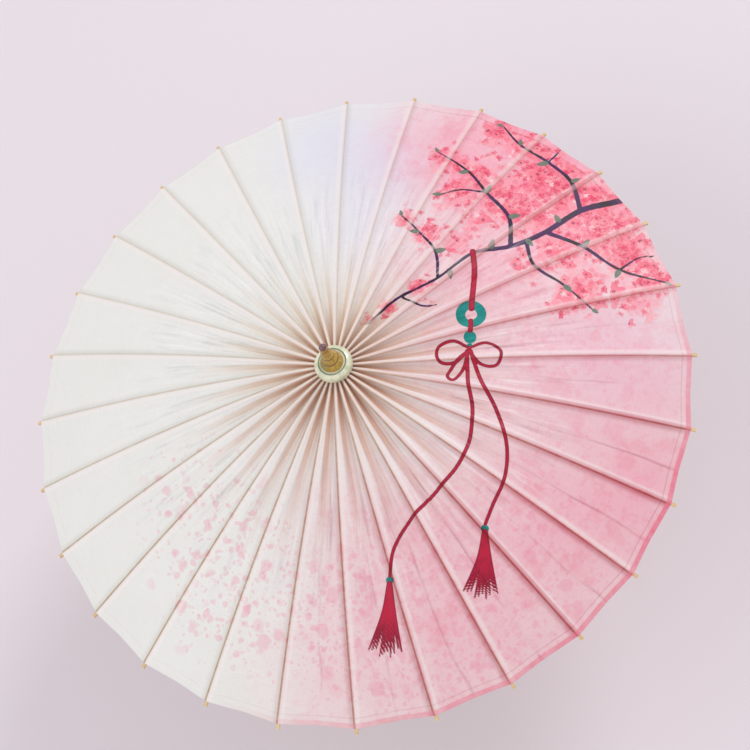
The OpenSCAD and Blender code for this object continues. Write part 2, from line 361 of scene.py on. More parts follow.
# The painted cord hangs from the bough to a ring, two beads and a bow, and ends in two tassels.
CORDS = [
    ([(151, 162), (155, 140), (156, 112), (156, 82)], 7, 7),
    ([(156, 66), (157, 60), (157, 52)], 6, 6),
    ([(155, 26), (158, -10), (166, -52), (160, -98), (134, -140), (104, -176), (84, -212),
      (80, -244)], 5, 4),
    ([(159, 26), (172, -8), (192, -44), (206, -84), (206, -124), (194, -156), (186, -180)], 5, 4),
    ([(157, 30), (138, 38), (120, 28), (124, 10), (142, 10), (157, 26)], 4, 4),
    ([(157, 30), (176, 38), (194, 28), (190, 10), (172, 10), (157, 26)], 4, 4),
    ([(157, 28), (144, 12), (134, -6), (142, -12), (152, 4), (157, 24)], 4, 4),
]
TASSELS = [((80, -253), 80), ((186, -189), 74)]         # the top and the length of each
TASSEL_STRANDS = 10
TASSEL_SPREAD = 19          # half the width at the bottom
TASSEL_TOP, TASSEL_END = 7, 2
RING_PLACE, RING_OUTER, RING_INNER = (156, 74), 18, 7
BEADS = [((157, 44), 7.5), ((157, 33), 3.5), ((80, -249), 4.5), ((186, -185), 4.5)]

BLOSSOM_SPOTS = [
    (262, 262, 32, 0.9), (236, 300, 30, 0.9), (200, 332, 26, 0.85), (166, 356, 20, 0.9),
    (300, 204, 36, 0.85), (334, 168, 30, 0.85), (366, 140, 24, 0.9), (346, 106, 22, 0.6),
    (252, 170, 30, 0.7), (286, 118, 26, 0.8), (262, 100, 20, 0.6), (304, 250, 26, 0.85),
    (206, 228, 32, 0.8), (172, 250, 30, 0.85), (140, 282, 26, 0.8), (104, 306, 22, 0.8),
    (118, 246, 18, 0.8), (130, 172, 20, 0.6), (92, 186, 20, 0.8), (64, 208, 14, 0.8),
    (92, 108, 16, 0.7), (56, 80, 10, 0.9), (36, 62, 8, 0.8), (222, 264, 30, 0.6),
    (328, 216, 24, 0.7), (214, 140, 20, 0.5), (150, 206, 16, 0.5), (236, 216, 24, 0.7),
]
# Each layer of flowers: cells a metre, its shift in metres, and its lightest and darkest colour.
FLOWER_LAYERS = [
    (46, (0.013, 0.004, 0), "ffc8cf", "fb5577"),
    (78, (0.002, 0.017, 0), "ffe2e4", "f7416c"),
    (115, (0.021, 0.009, 0), "ffa9b6", "ee3466"),
]
PETALS = 5
BLUSH_SPOTS = [
    (233, 273, 118, 1), (375, 164, 90, 0.25), (154, 320, 90, 1), (375, 22, 100, 0.45),
    (188, 153, 90, 0.7), (354, -132, 110, 0.75), (262, -249, 120, 0.55), (135, -329, 120, 0.45),
    (267, 25, 90, 0.5), (210, -128, 90, 0.45), (121, -231, 90, 0.4), (17, -367, 80, 0.25),
    (95, 130, 70, 0.3), (74, 353, 60, 0.45), (45, -184, 80, 0.25), (150, 23, 80, 0.3),
]
LILAC_SPOTS = [(34, 304, 80, 0.7), (-59, 340, 80, 0.6), (3, 202, 60, 0.4), (330, 45, 90, 0.5)]
DOT_SPOTS = [
    (-163, -173, 90, 0.5), (-119, -263, 90, 0.8), (36, -284, 110, 0.9), (124, -312, 110, 0.9),
    (220, -240, 110, 0.7), (290, -125, 100, 0.5), (-187, -117, 70, 0.35), (227, 71, 70, 0.5),
    (237, 148, 50, 0.5), (124, -29, 60, 0.3), (320, 35, 70, 0.4),
]
# Each layer of mottled pink: its scale, the noise it starts at, its strength and its colour.
MOTTLE_LAYERS = [
    (26, 0.5, 0.4, "f392a8"), (75, 0.52, 0.32, "ef8aa2"), (190, 0.54, 0.24, "ec7f99"),
]
DOT_LAYERS = [(44, 0.36), (85, 0.34), (150, 0.3)]     # cells a metre and strength of each


def painting(x, y):
    """The painted fields over the whole paper, by name. Distances are in millimetres."""
    right = x * math.cos(PAINTING_TURN) + y * math.sin(PAINTING_TURN)
    up = y * math.cos(PAINTING_TURN) - x * math.sin(PAINTING_TURN)
    cords = [stroke(right, up, *cord) for cord in CORDS]
    for (top_x, top_y), length in TASSELS:
        for k in range(TASSEL_STRANDS):
            lean = TASSEL_SPREAD * (2 * k / (TASSEL_STRANDS - 1) - 1)
            drop = length * (1 - 0.08 * (k % 3) / 2) - 0.02 * lean ** 2
            strand = [(top_x, top_y), (top_x + 0.35 * lean, top_y - 0.45 * drop),
                      (top_x + lean - 3, top_y - drop)]
            cords.append(stroke(right, up, strand, TASSEL_TOP, TASSEL_END))
    ring_gap = np.hypot(right - RING_PLACE[0], up - RING_PLACE[1])
    ring = np.maximum(ring_gap - RING_OUTER, RING_INNER - ring_gap)
    beads = [np.hypot(right - px, up - py) - size for (px, py), size in BEADS]
    return {
        "branch": nearest([stroke(right, up, *branch) for branch in BRANCHES]),
        "cord": nearest(cords),
        "jade": nearest([ring, *beads]),
        "leaf": nearest([leaf(right, up, *one) for one in LEAVES]),
        "bloom": blobs(right, up, BLOSSOM_SPOTS),
        "blush": blobs(right, up, BLUSH_SPOTS),
        "lilac": blobs(right, up, LILAC_SPOTS),
        "dots": blobs(right, up, DOT_SPOTS),
    }


# ---- Shader helpers ----
def colour(code):
    """A linear colour from a six-digit sRGB code."""
    parts = [int(code[i:i + 2], 16) / 255 for i in (0, 2, 4)]
    linear = [c / 12.92 if c < 0.04045 else ((c + 0.055) / 1.055) ** 2.4 for c in parts]
    return (*linear, 1)


class Shader:
    """A material with short calls for its nodes, which return the node's output. A colour is given
    as its code. The shade is the surface's colour so far."""

    def __init__(self, name):
        self.material = bpy.data.materials.new(name)
        self.material.use_nodes = True
        self.tree = self.material.node_tree
        self.surface = self.tree.nodes["Principled BSDF"]
        self.shade = None

    def node(self, kind, inputs=(), **settings):
        made = self.tree.nodes.new("ShaderNode" + kind)
        for key, value in settings.items():
            setattr(made, key, value)
        for key, value in dict(inputs).items():
            self.put(made.inputs[key], value)
        return made

    def put(self, socket, value):
        if isinstance(value, bpy.types.NodeSocket):
            self.tree.links.new(value, socket)
        else:
            socket.default_value = colour(value) if isinstance(value, str) else value

    def finished(self, **values):
        """Sets the surface's colour and its other sockets, named with underscores for spaces."""
        for key, value in values.items():
            self.put(self.surface.inputs[key.replace("_", " ")], value)
        self.put(self.surface.inputs["Base Color"], self.shade)
        return self.material

    def paint(self, tint, *strength, blend="MIX", clamp=False):
        """Lays a colour over the shade, as strongly as the product of the other values."""
        self.shade = self.mix(self.product(*strength, clamp=clamp), self.shade, tint, blend)

    def darken(self, tint, *strength, clamp=False):
        self.paint(tint, *strength, blend="MULTIPLY", clamp=clamp)

    def value(self, name):
        return self.node("Attribute", attribute_name=name).outputs["Fac"]

    def vector(self, name):
        return self.node("Attribute", attribute_name=name).outputs["Vector"]

    def coordinates(self):
        return self.node("TexCoord").outputs["Object"]

    def math(self, operation, a, b=0, c=0, clamp=False):
        made = self.node("Math", {0: a, 1: b, 2: c}, operation=operation, use_clamp=clamp)
        return made.outputs[0]

    def product(self, value, *factors, clamp=False):
        for factor in factors[:-1]:
            value = self.math("MULTIPLY", value, factor)
        return self.math("MULTIPLY", value, factors[-1], clamp=clamp) if factors else value

    def linear(self, value, factor, offset):
        """The value times a factor, plus an offset."""
        return self.math("MULTIPLY_ADD", value, factor, offset)

    def gap(self, a, b):
        return self.math("ABSOLUTE", self.math("SUBTRACT", a, b))

    def dot(self, a, b):
        return self.node("VectorMath", {0: a, 1: b}, operation="DOT_PRODUCT").outputs["Value"]

    def vector_math(self, operation, a, b):
        return self.node("VectorMath", {0: a, 1: b}, operation=operation).outputs["Vector"]

    def split(self, vector):
        return self.node("SeparateXYZ", {0: vector}).outputs

    def join(self, x, y, z=0):
        return self.node("CombineXYZ", {0: x, 1: y, 2: z}).outputs[0]

    def place(self):
        """A place in millimetres: x, y, z and the distance from the pole's axis."""
        x, y, z = self.split(self.scaled(self.coordinates(), (1 / MM, 1 / MM, 1 / MM)))
        return x, y, z, self.math("SQRT", self.linear(x, x, self.product(y, y)))

    def rib_place(self, line):
        """A place on the ribs in millimetres: along a rib from the pole, across it, and above
        the line, whose height is a polynomial of the distance along."""
        x, y, z, along = self.place()
        turn = self.math("DIVIDE", self.math("ARCTAN2", y, x), PITCH)
        aside = self.math("SUBTRACT", turn, self.math("ROUND", turn))
        height = 0
        for factor in line:
            height = self.linear(height, along, float(factor))
        across = self.product(aside, PITCH, along)
        return along, across, self.math("SUBTRACT", z, height)

    def step(self, value, low, high):
        """From 0 at low to 1 at high, smoothly. Low may be above high."""
        inputs = {"Value": value, "From Min": low, "From Max": high}
        made = self.node("MapRange", inputs, interpolation_type="SMOOTHSTEP")
        return made.outputs["Result"]

    def scaled(self, vector, scale):
        return self.vector_math("MULTIPLY", vector, scale)

    def noise(self, vector, scale, detail=2, roughness=0.5):
        inputs = {"Vector": vector, "Scale": scale, "Detail": detail, "Roughness": roughness}
        return self.node("TexNoise", inputs).outputs["Fac"]

    def grain(self, scale, detail, roughness):
        """Noise that is stretched along the part's axes by the three scales."""
        return self.noise(self.scaled(self.coordinates(), scale), 1, detail, roughness)

    def voronoi(self, vector, scale):
        inputs = {"Vector": vector, "Scale": scale}
        return self.node("TexVoronoi", inputs, voronoi_dimensions="2D").outputs

    def mix(self, share, a, b, blend="MIX"):
        made = self.node("Mix", data_type="RGBA", blend_type=blend)
        for socket, value in zip((made.inputs[0], made.inputs[6], made.inputs[7]), (share, a, b)):
            self.put(socket, value)
        return made.outputs[2]

    def bump(self, height, strength, distance, under=None):
        inputs = {"Height": height, "Strength": strength, "Distance": distance}
        if under is not None:
            inputs["Normal"] = under
        return self.node("Bump", inputs).outputs["Normal"]


class PaperShader(Shader):
    """The paper's shader, with the values that several of its marks share."""

    def __init__(self, name):
        super().__init__(name)
        self.plan = self.vector("plan")
        self.across, self.radius, _ = self.split(self.vector("rib"))
        self.down = self.value("down")
        self.cord, self.jade = self.value("cord"), self.value("jade")
        self.blush = self.value("blush")
        self.cloud = self.noise(self.plan, 9, 4, 0.6)
        self.speck = self.noise(self.plan, 90, 3, 0.6)
        # 1 on the side of the paper away from the light and 0 on the lit side: it sets how strong the
        # painted shade and painted highlights are; pink_shade is the same on the pink paper.
        self.shaded = self.step(self.dot(self.plan, (0.25, 0.97, 0)), 0.16, -0.2)
        self.pink = self.product(self.blush, 1.4, clamp=True)
        self.pink_shade = self.product(self.shaded, self.pink)
        self.unpainted = self.step(self.math("MINIMUM", self.cord, self.jade), -0.5, 1)

    def inside(self, distance):
        """From 0 outside a painted shape to 1 inside it."""
        return self.step(distance, PAINT_EDGE, -PAINT_EDGE)

    def wobble(self, scale, size):
        """Small moves in the paper's plane, which make an edge ragged."""
        moves = self.node("TexNoise", {"Vector": self.plan, "Scale": scale}).outputs["Color"]
        return self.scaled(moves, (size, size, 0))


def add_washes(s):
    """Lilac and mottled pink washes, and soft drops of pink water with ragged edges."""
    s.paint("e2e2f6", s.value("lilac"), 0.9)
    s.paint("f8b4c6", s.blush, s.linear(s.cloud, 0.9, 0.5), clamp=True)
    for scale, low, strength, tint in MOTTLE_LAYERS:
        patches = s.step(s.noise(s.plan, scale, 5, 0.7), low, low + 0.12)
        s.paint(tint, patches, s.blush, strength)
    ragged_plan = s.vector_math("ADD", s.plan, s.wobble(70, 0.012))
    for cells, strength in DOT_LAYERS:
        dots = s.voronoi(ragged_plan, cells)
        chance, luck, _ = s.split(dots["Color"])
        size = s.linear(luck, 0.3, 0.08)
        dot = s.step(s.math("SUBTRACT", dots["Distance"], size), 0.12, -0.08)
        wanted = s.step(s.math("SUBTRACT", s.value("dots"), chance), 0.1, 0.5)
        s.paint("f29cb4", dot, wanted, strength)


def add_flowers(s, bloom, cells, shift, light, dark):
    """One layer of five-petalled flowers, at most one in a cell, where the bloom is dense."""
    moved = s.vector_math("ADD", s.vector_math("ADD", s.plan, shift), s.wobble(150, 0.005))
    cell = s.voronoi(moved, cells)
    scaled = s.scaled(moved, (cells, cells, 0))
    centre = s.scaled(cell["Position"], (cells, cells, 0))
    x, y, _ = s.split(s.vector_math("SUBTRACT", scaled, centre))
    chance, turn, luck = s.split(cell["Color"])
    angle = s.math("ARCTAN2", y, x)
    petal = s.math("COSINE", s.linear(angle, PETALS, s.product(turn, 2 * math.pi)))
    reach = s.product(s.linear(petal, 0.09, 0.4), s.linear(luck, 0.6, 0.75))
    there = s.step(s.math("SUBTRACT", bloom, chance), 0, 0.1)
    edge = s.math("SUBTRACT", cell["Distance"], reach)
    petals = s.product(s.step(edge, 0.05, -0.05), there)
    s.paint(s.mix(luck, light, dark), petals, 0.74)
    s.paint("ea4668", s.step(edge, -0.16, -0.02), petals, 0.2)
    heart = s.step(cell["Distance"], 0.15, 0.07)
    s.paint("a8184e", heart, there, s.step(luck, 0.35, 0.7), 0.75)


def add_blossoms(s):
    """Wet dabs of coral with bare paper between them, then flowers and fine crimson specks."""
    bloom = s.value("bloom")
    wet = s.linear(s.noise(s.plan, 42, 5, 0.75), 1.5, bloom)
    s.paint("ff93a8", s.step(wet, 0.95, 1.4), 0.6)
    dabs = s.linear(s.noise(s.plan, 75, 4, 0.7), 2.2, bloom)
    s.paint("fb6b85", s.step(dabs, 1.65, 1.95), 0.6)
    for layer in FLOWER_LAYERS:
        add_flowers(s, bloom, *layer)
    specks = s.linear(s.noise(s.plan, 230, 3, 0.7), 2.6, bloom)
    s.paint("e02a5c", s.step(specks, 2.15, 2.4), 0.6)


def add_strokes(s):
    """The branches and leaves, with ragged edges, and the jade and the cord."""
    ragged = s.linear(s.speck, 1.6, -0.8)
    bark = s.mix(s.step(s.noise(s.plan, 40), 0.4, 0.6), "2b1c2c", "471257")
    s.paint(bark, s.inside(s.math("ADD", s.value("branch"), ragged)))
    green = s.mix(s.speck, "466f5e", "7c8f7c")
    s.paint(green, s.inside(s.math("ADD", s.value("leaf"), ragged)), 0.92)
    s.paint(s.mix(s.noise(s.plan, 60), "03807f", "1fa89f"), s.inside(s.jade))
    red = s.mix(s.step(s.cord, -0.3, -2), "9a0e34", "c61c42")
    worn = s.product(s.step(s.noise(s.plan, 55), 0.48, 0.66), 0.4)
    s.paint(s.mix(worn, red, "8c0f30"), s.inside(s.cord))


def add_rib_lines_and_painted_light(s):
    """A thin brown line along each rib, where the bamboo shows through, darkened by painted shade away
    from the light; a painted highlight on the ridge, painted shade and a painted highlight beside it,
    and painted shade over the pink paper away from the light.
    """
    # Brown line: the bamboo showing through, with painted shade that darkens it more on the side away
    # from the light.
    s.darken(s.mix(s.pink, "cb9a62", "d6886f"), s.step(s.across, -0.2, -0.9),
             s.step(s.across, -3.3, -2.3), s.linear(s.shaded, 0.55, 0.3), s.math("ADD", s.speck, 0.4))
    # Painted highlight on the ridge over the rib, strongest on the lit side.
    s.paint("fbf1e8", s.step(s.math("ABSOLUTE", s.across), 2.6, 1.6), s.unpainted,
            s.linear(s.shaded, -0.3, 0.34))
    # Painted shade beside the rib, strongest on the pink paper away from the light.
    s.darken(s.mix(s.pink, "d3d0c6", "d9a3a9"), s.step(s.across, -0.5, -2.5),
             s.step(s.across, -11, -2.5), s.linear(s.pink_shade, 0.65, 0.35),
             s.math("ADD", s.cloud, 0.4), clamp=True)
    # Painted highlight on the other side of the rib.
    s.paint("fff6f4", s.step(s.across, 0.2, 1.6), s.step(s.across, 8, 3),
            s.linear(s.shaded, 0.2, 0.35), s.unpainted)
    # Painted shade over the pink paper on the side away from the light.
    s.darken("f6eceb", s.pink_shade, 0.35)


def add_streaks(s):
    """Painted shade and painted highlights in crumpled streaks that run outward in the middle of the
    paper, and a stain on some ribs.
    """
    x, y, _ = s.split(s.plan)
    beat = s.product(s.math("ARCTAN2", y, x), STREAKS_IN_GORE / PITCH)
    streaks = s.noise(s.join(beat, s.product(s.radius, 0.013)), 1, 4, 0.6)
    middle = s.product(s.step(s.radius, 80, 150), s.step(s.radius, 330, 200),
                       s.step(s.down, 0.1, 0.45))
    # Painted shade in the crumpled streaks, deeper in the folds.
    s.darken(s.mix(s.pink, "d6dade", "d5a5b1"), s.step(streaks, 0.5, 0.72), middle, 0.5)
    # Painted highlights between the streaks.
    s.paint("ffffff", s.step(streaks, 0.46, 0.3), middle, s.unpainted, 0.4)
    s.darken("d8647e", s.step(s.math("ABSOLUTE", s.across), 4, 2), s.value("stain"))


def add_pleat_shade_and_tint(s):
    """Painted shade along the crease between two ribs, and warm painted shade in the pleats towards
    the hub, darker on one side of each pleat and on the side away from the light.
    """
    lengths = s.noise(s.scaled(s.plan, (14, 14, 0)), 1, 3, 0.6)
    # Painted shade along the crease, on the pink paper away from the light.
    s.darken("cd8f9c", s.step(s.down, 0.94, 0.99), s.step(s.radius, 130, 320), s.pink_shade,
             s.step(lengths, 0.3, 0.65), 0.5)
    # Warm painted shade deep in the pleats near the hub, darker on one side of each pleat and on the
    # side away from the light.
    edge = s.linear(s.step(s.radius, 30, 160), 0.35, 0.02)
    s.darken(s.mix(s.shaded, "f0d9bf", "dda188"),
             s.step(s.radius, s.linear(s.shaded, 70, 200), 15),
             s.step(s.math("SUBTRACT", s.down, edge), 0, 0.3),
             s.linear(s.step(s.across, -1, 1), 0.45, 0.55),
             s.linear(s.cloud, 0.6, 0.7), clamp=True)
    # Darker painted shade deep in the pleats right by the hub, reddest on the side away from the
    # light.
    s.darken(s.mix(s.shaded, "e0bf9f", "9c5446"), s.step(s.radius, 95, 18),
             s.step(s.down, 0.1, 0.6), 0.75)
    s.darken("ffe2d2", s.step(s.radius, 150, 30), s.step(s.down, 0.2, 0), 0.4)


def add_rim_marks(s):
    """The hem's faint line, and a pink band along part of the paper's edge."""
    edge = PAPER_OUTER / MM
    from_hem = s.gap(s.radius, edge - HEM_WIDTH / MM)
    s.darken("c9707c", s.step(from_hem, 1.2, 0.3), s.linear(s.blush, 0.3, 0.06))
    s.paint("ee7c94", s.step(s.radius, edge - 6.5, edge - 4.5), s.pink,
            s.linear(s.shaded, 0.9, 0.1), s.math("ADD", s.speck, 0.3))


def paper_material():
    """Oiled paper with fibres. The light shines through it a little."""
    s = PaperShader("oiled_paper")
    s.shade = s.mix(s.cloud, "f4f4f1", "eceee9")
    add_washes(s)
    add_blossoms(s)
    add_strokes(s)
    add_rib_lines_and_painted_light(s)
    add_streaks(s)
    add_pleat_shade_and_tint(s)
    add_rim_marks(s)
    fibre = s.noise(s.scaled(s.vector("rib"), (0.06, 1.1, 0)), 1, 3, 0.6)
    fibres = s.linear(fibre, 0.17, 0.915)
    s.darken(s.join(fibres, fibres, fibres), 1)
    lining = s.mix(s.cloud, "f3e9d8", "ead9c0")     # hides most of the painting from below
    s.paint(lining, s.value("under"), 0.65)
    fine = s.bump(s.noise(s.plan, 380, 3, 0.65), 0.25, 0.0006)
    normal = s.bump(fibre, 0.5, 0.0004, fine)
    material = s.finished(Roughness=s.linear(s.cloud, 0.18, 0.34), Normal=normal,
                          Specular_IOR_Level=0.3, Coat_Weight=0.08, Coat_Roughness=0.3)
    glow = s.node("BsdfTranslucent", {"Color": s.shade, "Normal": normal})
    both = s.node("MixShader", {0: 0.2, 1: s.surface.outputs[0], 2: glow.outputs[0]})
    s.put(s.tree.nodes["Material Output"].inputs["Surface"], both.outputs[0])
    return material


def fold_sideways(piece):
    """Gives the piece a mesh of its own."""
    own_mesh(piece)


def make_paper():
    """One gore of paper over each long rib, cut from one continuous surface."""
    points, across, radius, down = paper_surface()
    fields = painting(points[..., 0] / MM, points[..., 1] / MM)
    fields["down"] = down
    luck = np.random.default_rng(5).uniform(0, 1, (RIB_COUNT, 1, 1))
    fields["stain"] = 0.9 * luck ** 2 * fields["blush"]
    material = paper_material()
    for i, rib_name in enumerate(LONG_RIBS):
        gore = sheet_object(rib_name.replace("long_rib", "paper_gore"), points[i], PAPER_THICK)
        add_values(gore, "plan", points[i] * (1, 1, 0))
        add_values(gore, "rib", np.stack([across[i], radius[i], 0 * radius[i]], -1) / MM)
        for name, values in fields.items():
            add_values(gore, name, values[i])
        add_values(gore, "under", np.repeat([0.0, 1.0], down[i].size))
        gore.data.materials.append(material)
        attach(gore, rib_name)
        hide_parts("canopy")
        fold_sideways(gore)


# ---- Turned pieces ----
LATHE_SEGMENTS = 128


def arc(centre, radius, start, end, steps):
    """Points of an arc in a profile, from one angle to another in degrees."""
    angles = np.radians(np.linspace(start, end, steps + 1))
    return [(centre[0] + radius * math.cos(a), centre[1] + radius * math.sin(a)) for a in angles]


def rounded(profile, size):
    """The profile, whose corners between the two ends are eased by short curves."""
    points = [Vector(p) for p in profile]
    eased = [points[0]]
    for before, corner, after in zip(points, points[1:], points[2:]):
        back, on = before - corner, after - corner
        a = corner + back * min(size / back.length, 0.4)
        b = corner + on * min(size / on.length, 0.4)
        eased += [a, (a + 2 * corner + b) / 4, b]
    return eased + [points[-1]]


def lathe(name, profile, base, smooth_angle=38):
    """A piece turned about the pole's axis, from (radius, height) points in millimetres above base.
    A profile starts and ends at radius 0, or at the same point."""
    shape = bmesh.new()
    spin = 2 * math.pi * np.arange(LATHE_SEGMENTS) / LATHE_SEGMENTS
    turns = list(zip(np.cos(spin), np.sin(spin)))
    closed = tuple(profile[0]) == tuple(profile[-1])
    rings = []
    for radius, height in profile[:-1] if closed else profile:
        z = base + height * MM
        if radius == 0:
            rings.append([shape.verts.new((0, 0, z))] * LATHE_SEGMENTS)
            continue
        rings.append([shape.verts.new((radius * MM * c, radius * MM * s, z)) for c, s in turns])
    for low, high in zip(rings, rings[1:] + rings[:1] if closed else rings[1:]):
        for k in range(LATHE_SEGMENTS):
            corners = dict.fromkeys([low[k - 1], low[k], high[k], high[k - 1]])
            if len(corners) > 2:
                shape.faces.new(corners)
    bmesh.ops.recalc_face_normals(shape, faces=shape.faces)
    mesh = bpy.data.meshes.new(name)
    shape.to_mesh(mesh)
    shape.free()
    return smooth_object(name, mesh, smooth_angle)


def add_piece(made, material, body, slot, *replaced):
    made.data.materials.append(material)
    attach(made, body)
    if replaced:
        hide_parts(*replaced)


def collar_material(foot, groove):
    """Pale lacquer with a warm painted shade at its foot, and paint in a groove: a height and a radius
    in mm.
    """
    s = Shader("pale_lacquer")
    _, _, z, radius = s.place()
    cloud = s.noise(s.coordinates(), 110, 4, 0.6)
    grain = s.grain((500, 500, 60), 3, 0.6)
    s.shade = s.mix(s.step(cloud, 0.4, 0.65), "e6e4c9", "c3cba6")
    s.paint("c9bd92", grain, 0.25)
    # Warm painted shade at the collar's foot.
    s.paint("dcb987", s.step(z, foot + 5, foot), 0.8)
    s.paint("7f8f76", s.step(s.gap(radius, groove), 1.15, 0.75), 0.85)
    return s.finished(Roughness=s.linear(cloud, 0.2, 0.2), Normal=s.bump(grain, 0.15, 0.0002),
                      Coat_Weight=0.6, Coat_Roughness=0.12)


def make_collar():
    """A pale lacquered disc with a rounded shoulder and a painted groove round the spire."""
    low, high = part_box("collar")
    height = (high.z - low.z) / MM
    bore, outer, groove = 6.6, high.x / MM, 16.5
    shoulder = arc((outer - 6, height - 6.6), 6, 0, 66, 14)
    lip = arc((outer - 3, 3), 3, -80, 0, 8)
    groove_edges = [(1.5, 0.2), (0.9, 0), (0.6, 1), (-0.6, 1), (-0.9, 0)]     # outward and down
    top = [(groove + outward, height - down) for outward, down in groove_edges]
    top = rounded([shoulder[-1], *top, (bore, height), (bore, 1.2)], 0.3)
    under = [(bore, 1.2), (19.9, 1.2), (19.9, 0), lip[0]]
    profile = under + lip[1:] + shoulder + [tuple(p) for p in top[1:]]
    collar = lathe("collar_lacquered", profile, low.z)
    add_piece(collar, collar_material(low.z / MM, groove), "root", "lacquered_wood", "collar")


SPIRE_STEPS = [11.6, 20.2, 29.6, 38.2]      # millimetres up to where two turned rings meet


def spire_material(foot):
    """Golden lacquer with an olive painted shade on one side, dark painted shade in the crevices
    between the turned rings, and a dark tip. The foot's height is in millimetres."""
    s = Shader("golden_lacquer")
    z = s.linear(s.split(s.coordinates())[2], 1 / MM, -foot)
    grain = s.grain((420, 420, 40), 4, 0.65)
    cloud = s.noise(s.coordinates(), 160, 3, 0.6)
    s.shade = s.mix(s.step(grain, 0.3, 0.7), "c8a034", "a27c22")
    s.paint("dcc354", s.step(cloud, 0.45, 0.7), 0.4)
    # Painted shade: olive and darker on one side of the spire.
    s.paint("7b7024", s.step(s.dot(s.coordinates(), (-0.9, 0.4, 0)), -0.002, 0.012), 0.7)
    # Painted shade in the crevices between the turned rings.
    ring = s.gap(z, SPIRE_STEPS[0])
    for height in SPIRE_STEPS[1:]:
        ring = s.math("MINIMUM", ring, s.gap(z, height))
    s.paint("5a3512", s.step(ring, 2.2, 0.3), 0.85)
    s.paint("6b4648", s.step(s.linear(cloud, 1.5, z), 43.2, 44.6))
    return s.finished(Roughness=s.linear(cloud, 0.2, 0.15), Normal=s.bump(grain, 0.2, 0.0002),
                      Coat_Weight=0.9, Coat_Roughness=0.06)


def make_spire():
    """A stepped golden finial with a dark stained tip."""
    low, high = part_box("spire")
    foot = high.x / MM
    profile = [(0, 0), (foot - 0.8, 0), (foot, 0.8), (foot, 2), (foot - 0.5, 2.5)]
    profile += arc((0, 2.3), foot - 0.7, 4, 41, 14)
    profile += [(9.7, 11.5), (10.2, 12), (10.2, 13.2), (9.7, 13.7)]
    profile += arc((0, 12.8), 9.5, 10, 46, 10)
    profile += [(6.6, 20.2), (7.2, 20.8), (7.2, 22), (6.4, 22.8), (6.1, 25), (5.7, 29.2),
                (6.3, 29.9), (6.3, 31.1), (5.5, 31.7), (5.1, 34), (4.5, 37.8),
                (5, 38.5), (5, 39.7), (4.2, 40.4)]
    profile += arc((0, 43.6), 4.8, -28, 84, 16)
    profile += [(0, (high.z - low.z) / MM)]
    spire = lathe("spire_turned", rounded(profile, 0.5), low.z)
    add_piece(spire, spire_material(low.z / MM), "root", "golden_wood", "spire")


def handle_material():
    """Dark lacquer over open pores, duller where a hand has worn it."""
    s = Shader("dark_lacquer")
    grain = s.grain((260, 260, 14), 5, 0.65)
    pores = s.grain((1500, 1500, 90), 2, 0.5)
    s.shade = s.mix(s.step(grain, 0.35, 0.65), "4a2413", "85502c")
    s.paint("2c140a", s.step(pores, 0.58, 0.68), 0.5)
    worn = s.step(s.math("ABSOLUTE", s.split(s.coordinates())[2]), 0.034, 0.008)
    return s.finished(Roughness=s.linear(s.product(worn, grain), 0.3, 0.22),
                      Normal=s.bump(pores, 0.2, 0.0002), Coat_Weight=0.5, Coat_Roughness=0.15)


def make_handle():
    """A lacquered wooden grip with a soft waist and two beads."""
    low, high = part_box("handle")
    grip, length = high.x / MM, (high.z - low.z) / MM
    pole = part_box("pole")[1].x / MM + 0.05
    below = [(3.5, 0), (1.2, 1), (0.2, 3), (0.2, 5), (1.4, 6.4), (1.4, 7.4), (0.6, 8.2), (1.2, 9.4)]
    waist = [(1.3 * math.sin(math.pi * t) ** 2, 11 + 59 * t) for t in np.linspace(0, 1, 25)]
    above = [(1.2, 71.5), (0.6, 72.7), (1.4, 73.6), (1.4, 74.6), (0.4, 76), (0.6, 79), (2.2, 82.4),
             (3.4, length)]
    profile = [(grip - inset, height) for inset, height in below + waist + above]
    profile = [(0, 0), *profile, (pole, length), (pole, 4), (0, 4)]
    handle = lathe("handle_turned", rounded(profile, 0.6), low.z)
    add_piece(handle, handle_material(), "root", "dark_wood", "handle")


# ---- Bamboo, bare wood and steel ----
def rib_material(name, line):
    """Split bamboo: fine strands along a rib that follows the line, and small dark flecks."""
    s = Shader(name)
    along, across, up = s.rib_place(line)
    strands = s.noise(s.join(s.product(along, 0.03), across, up), 2.2, 4, 0.65)
    flecks = s.noise(s.join(s.product(along, 0.12), across, up), 3.4, 2, 0.5)
    lengths = s.noise(s.coordinates(), 22, 3, 0.6)
    s.shade = s.mix(s.step(strands, 0.35, 0.65), "e3c590", "c79d61")
    s.paint("efdcb2", s.step(lengths, 0.45, 0.7), 0.45)
    s.paint("8d6232", s.step(flecks, 0.6, 0.7), 0.55)
    return s.finished(Roughness=s.linear(strands, 0.3, 0.35), Normal=s.bump(strands, 0.45, 0.0003),
                      Coat_Weight=0.15, Coat_Roughness=0.3)


CANE_JOINTS = 0.152         # distance between two joints of the bamboo cane
CANE_SHIFT = 0.018          # from the part's origin down to a joint


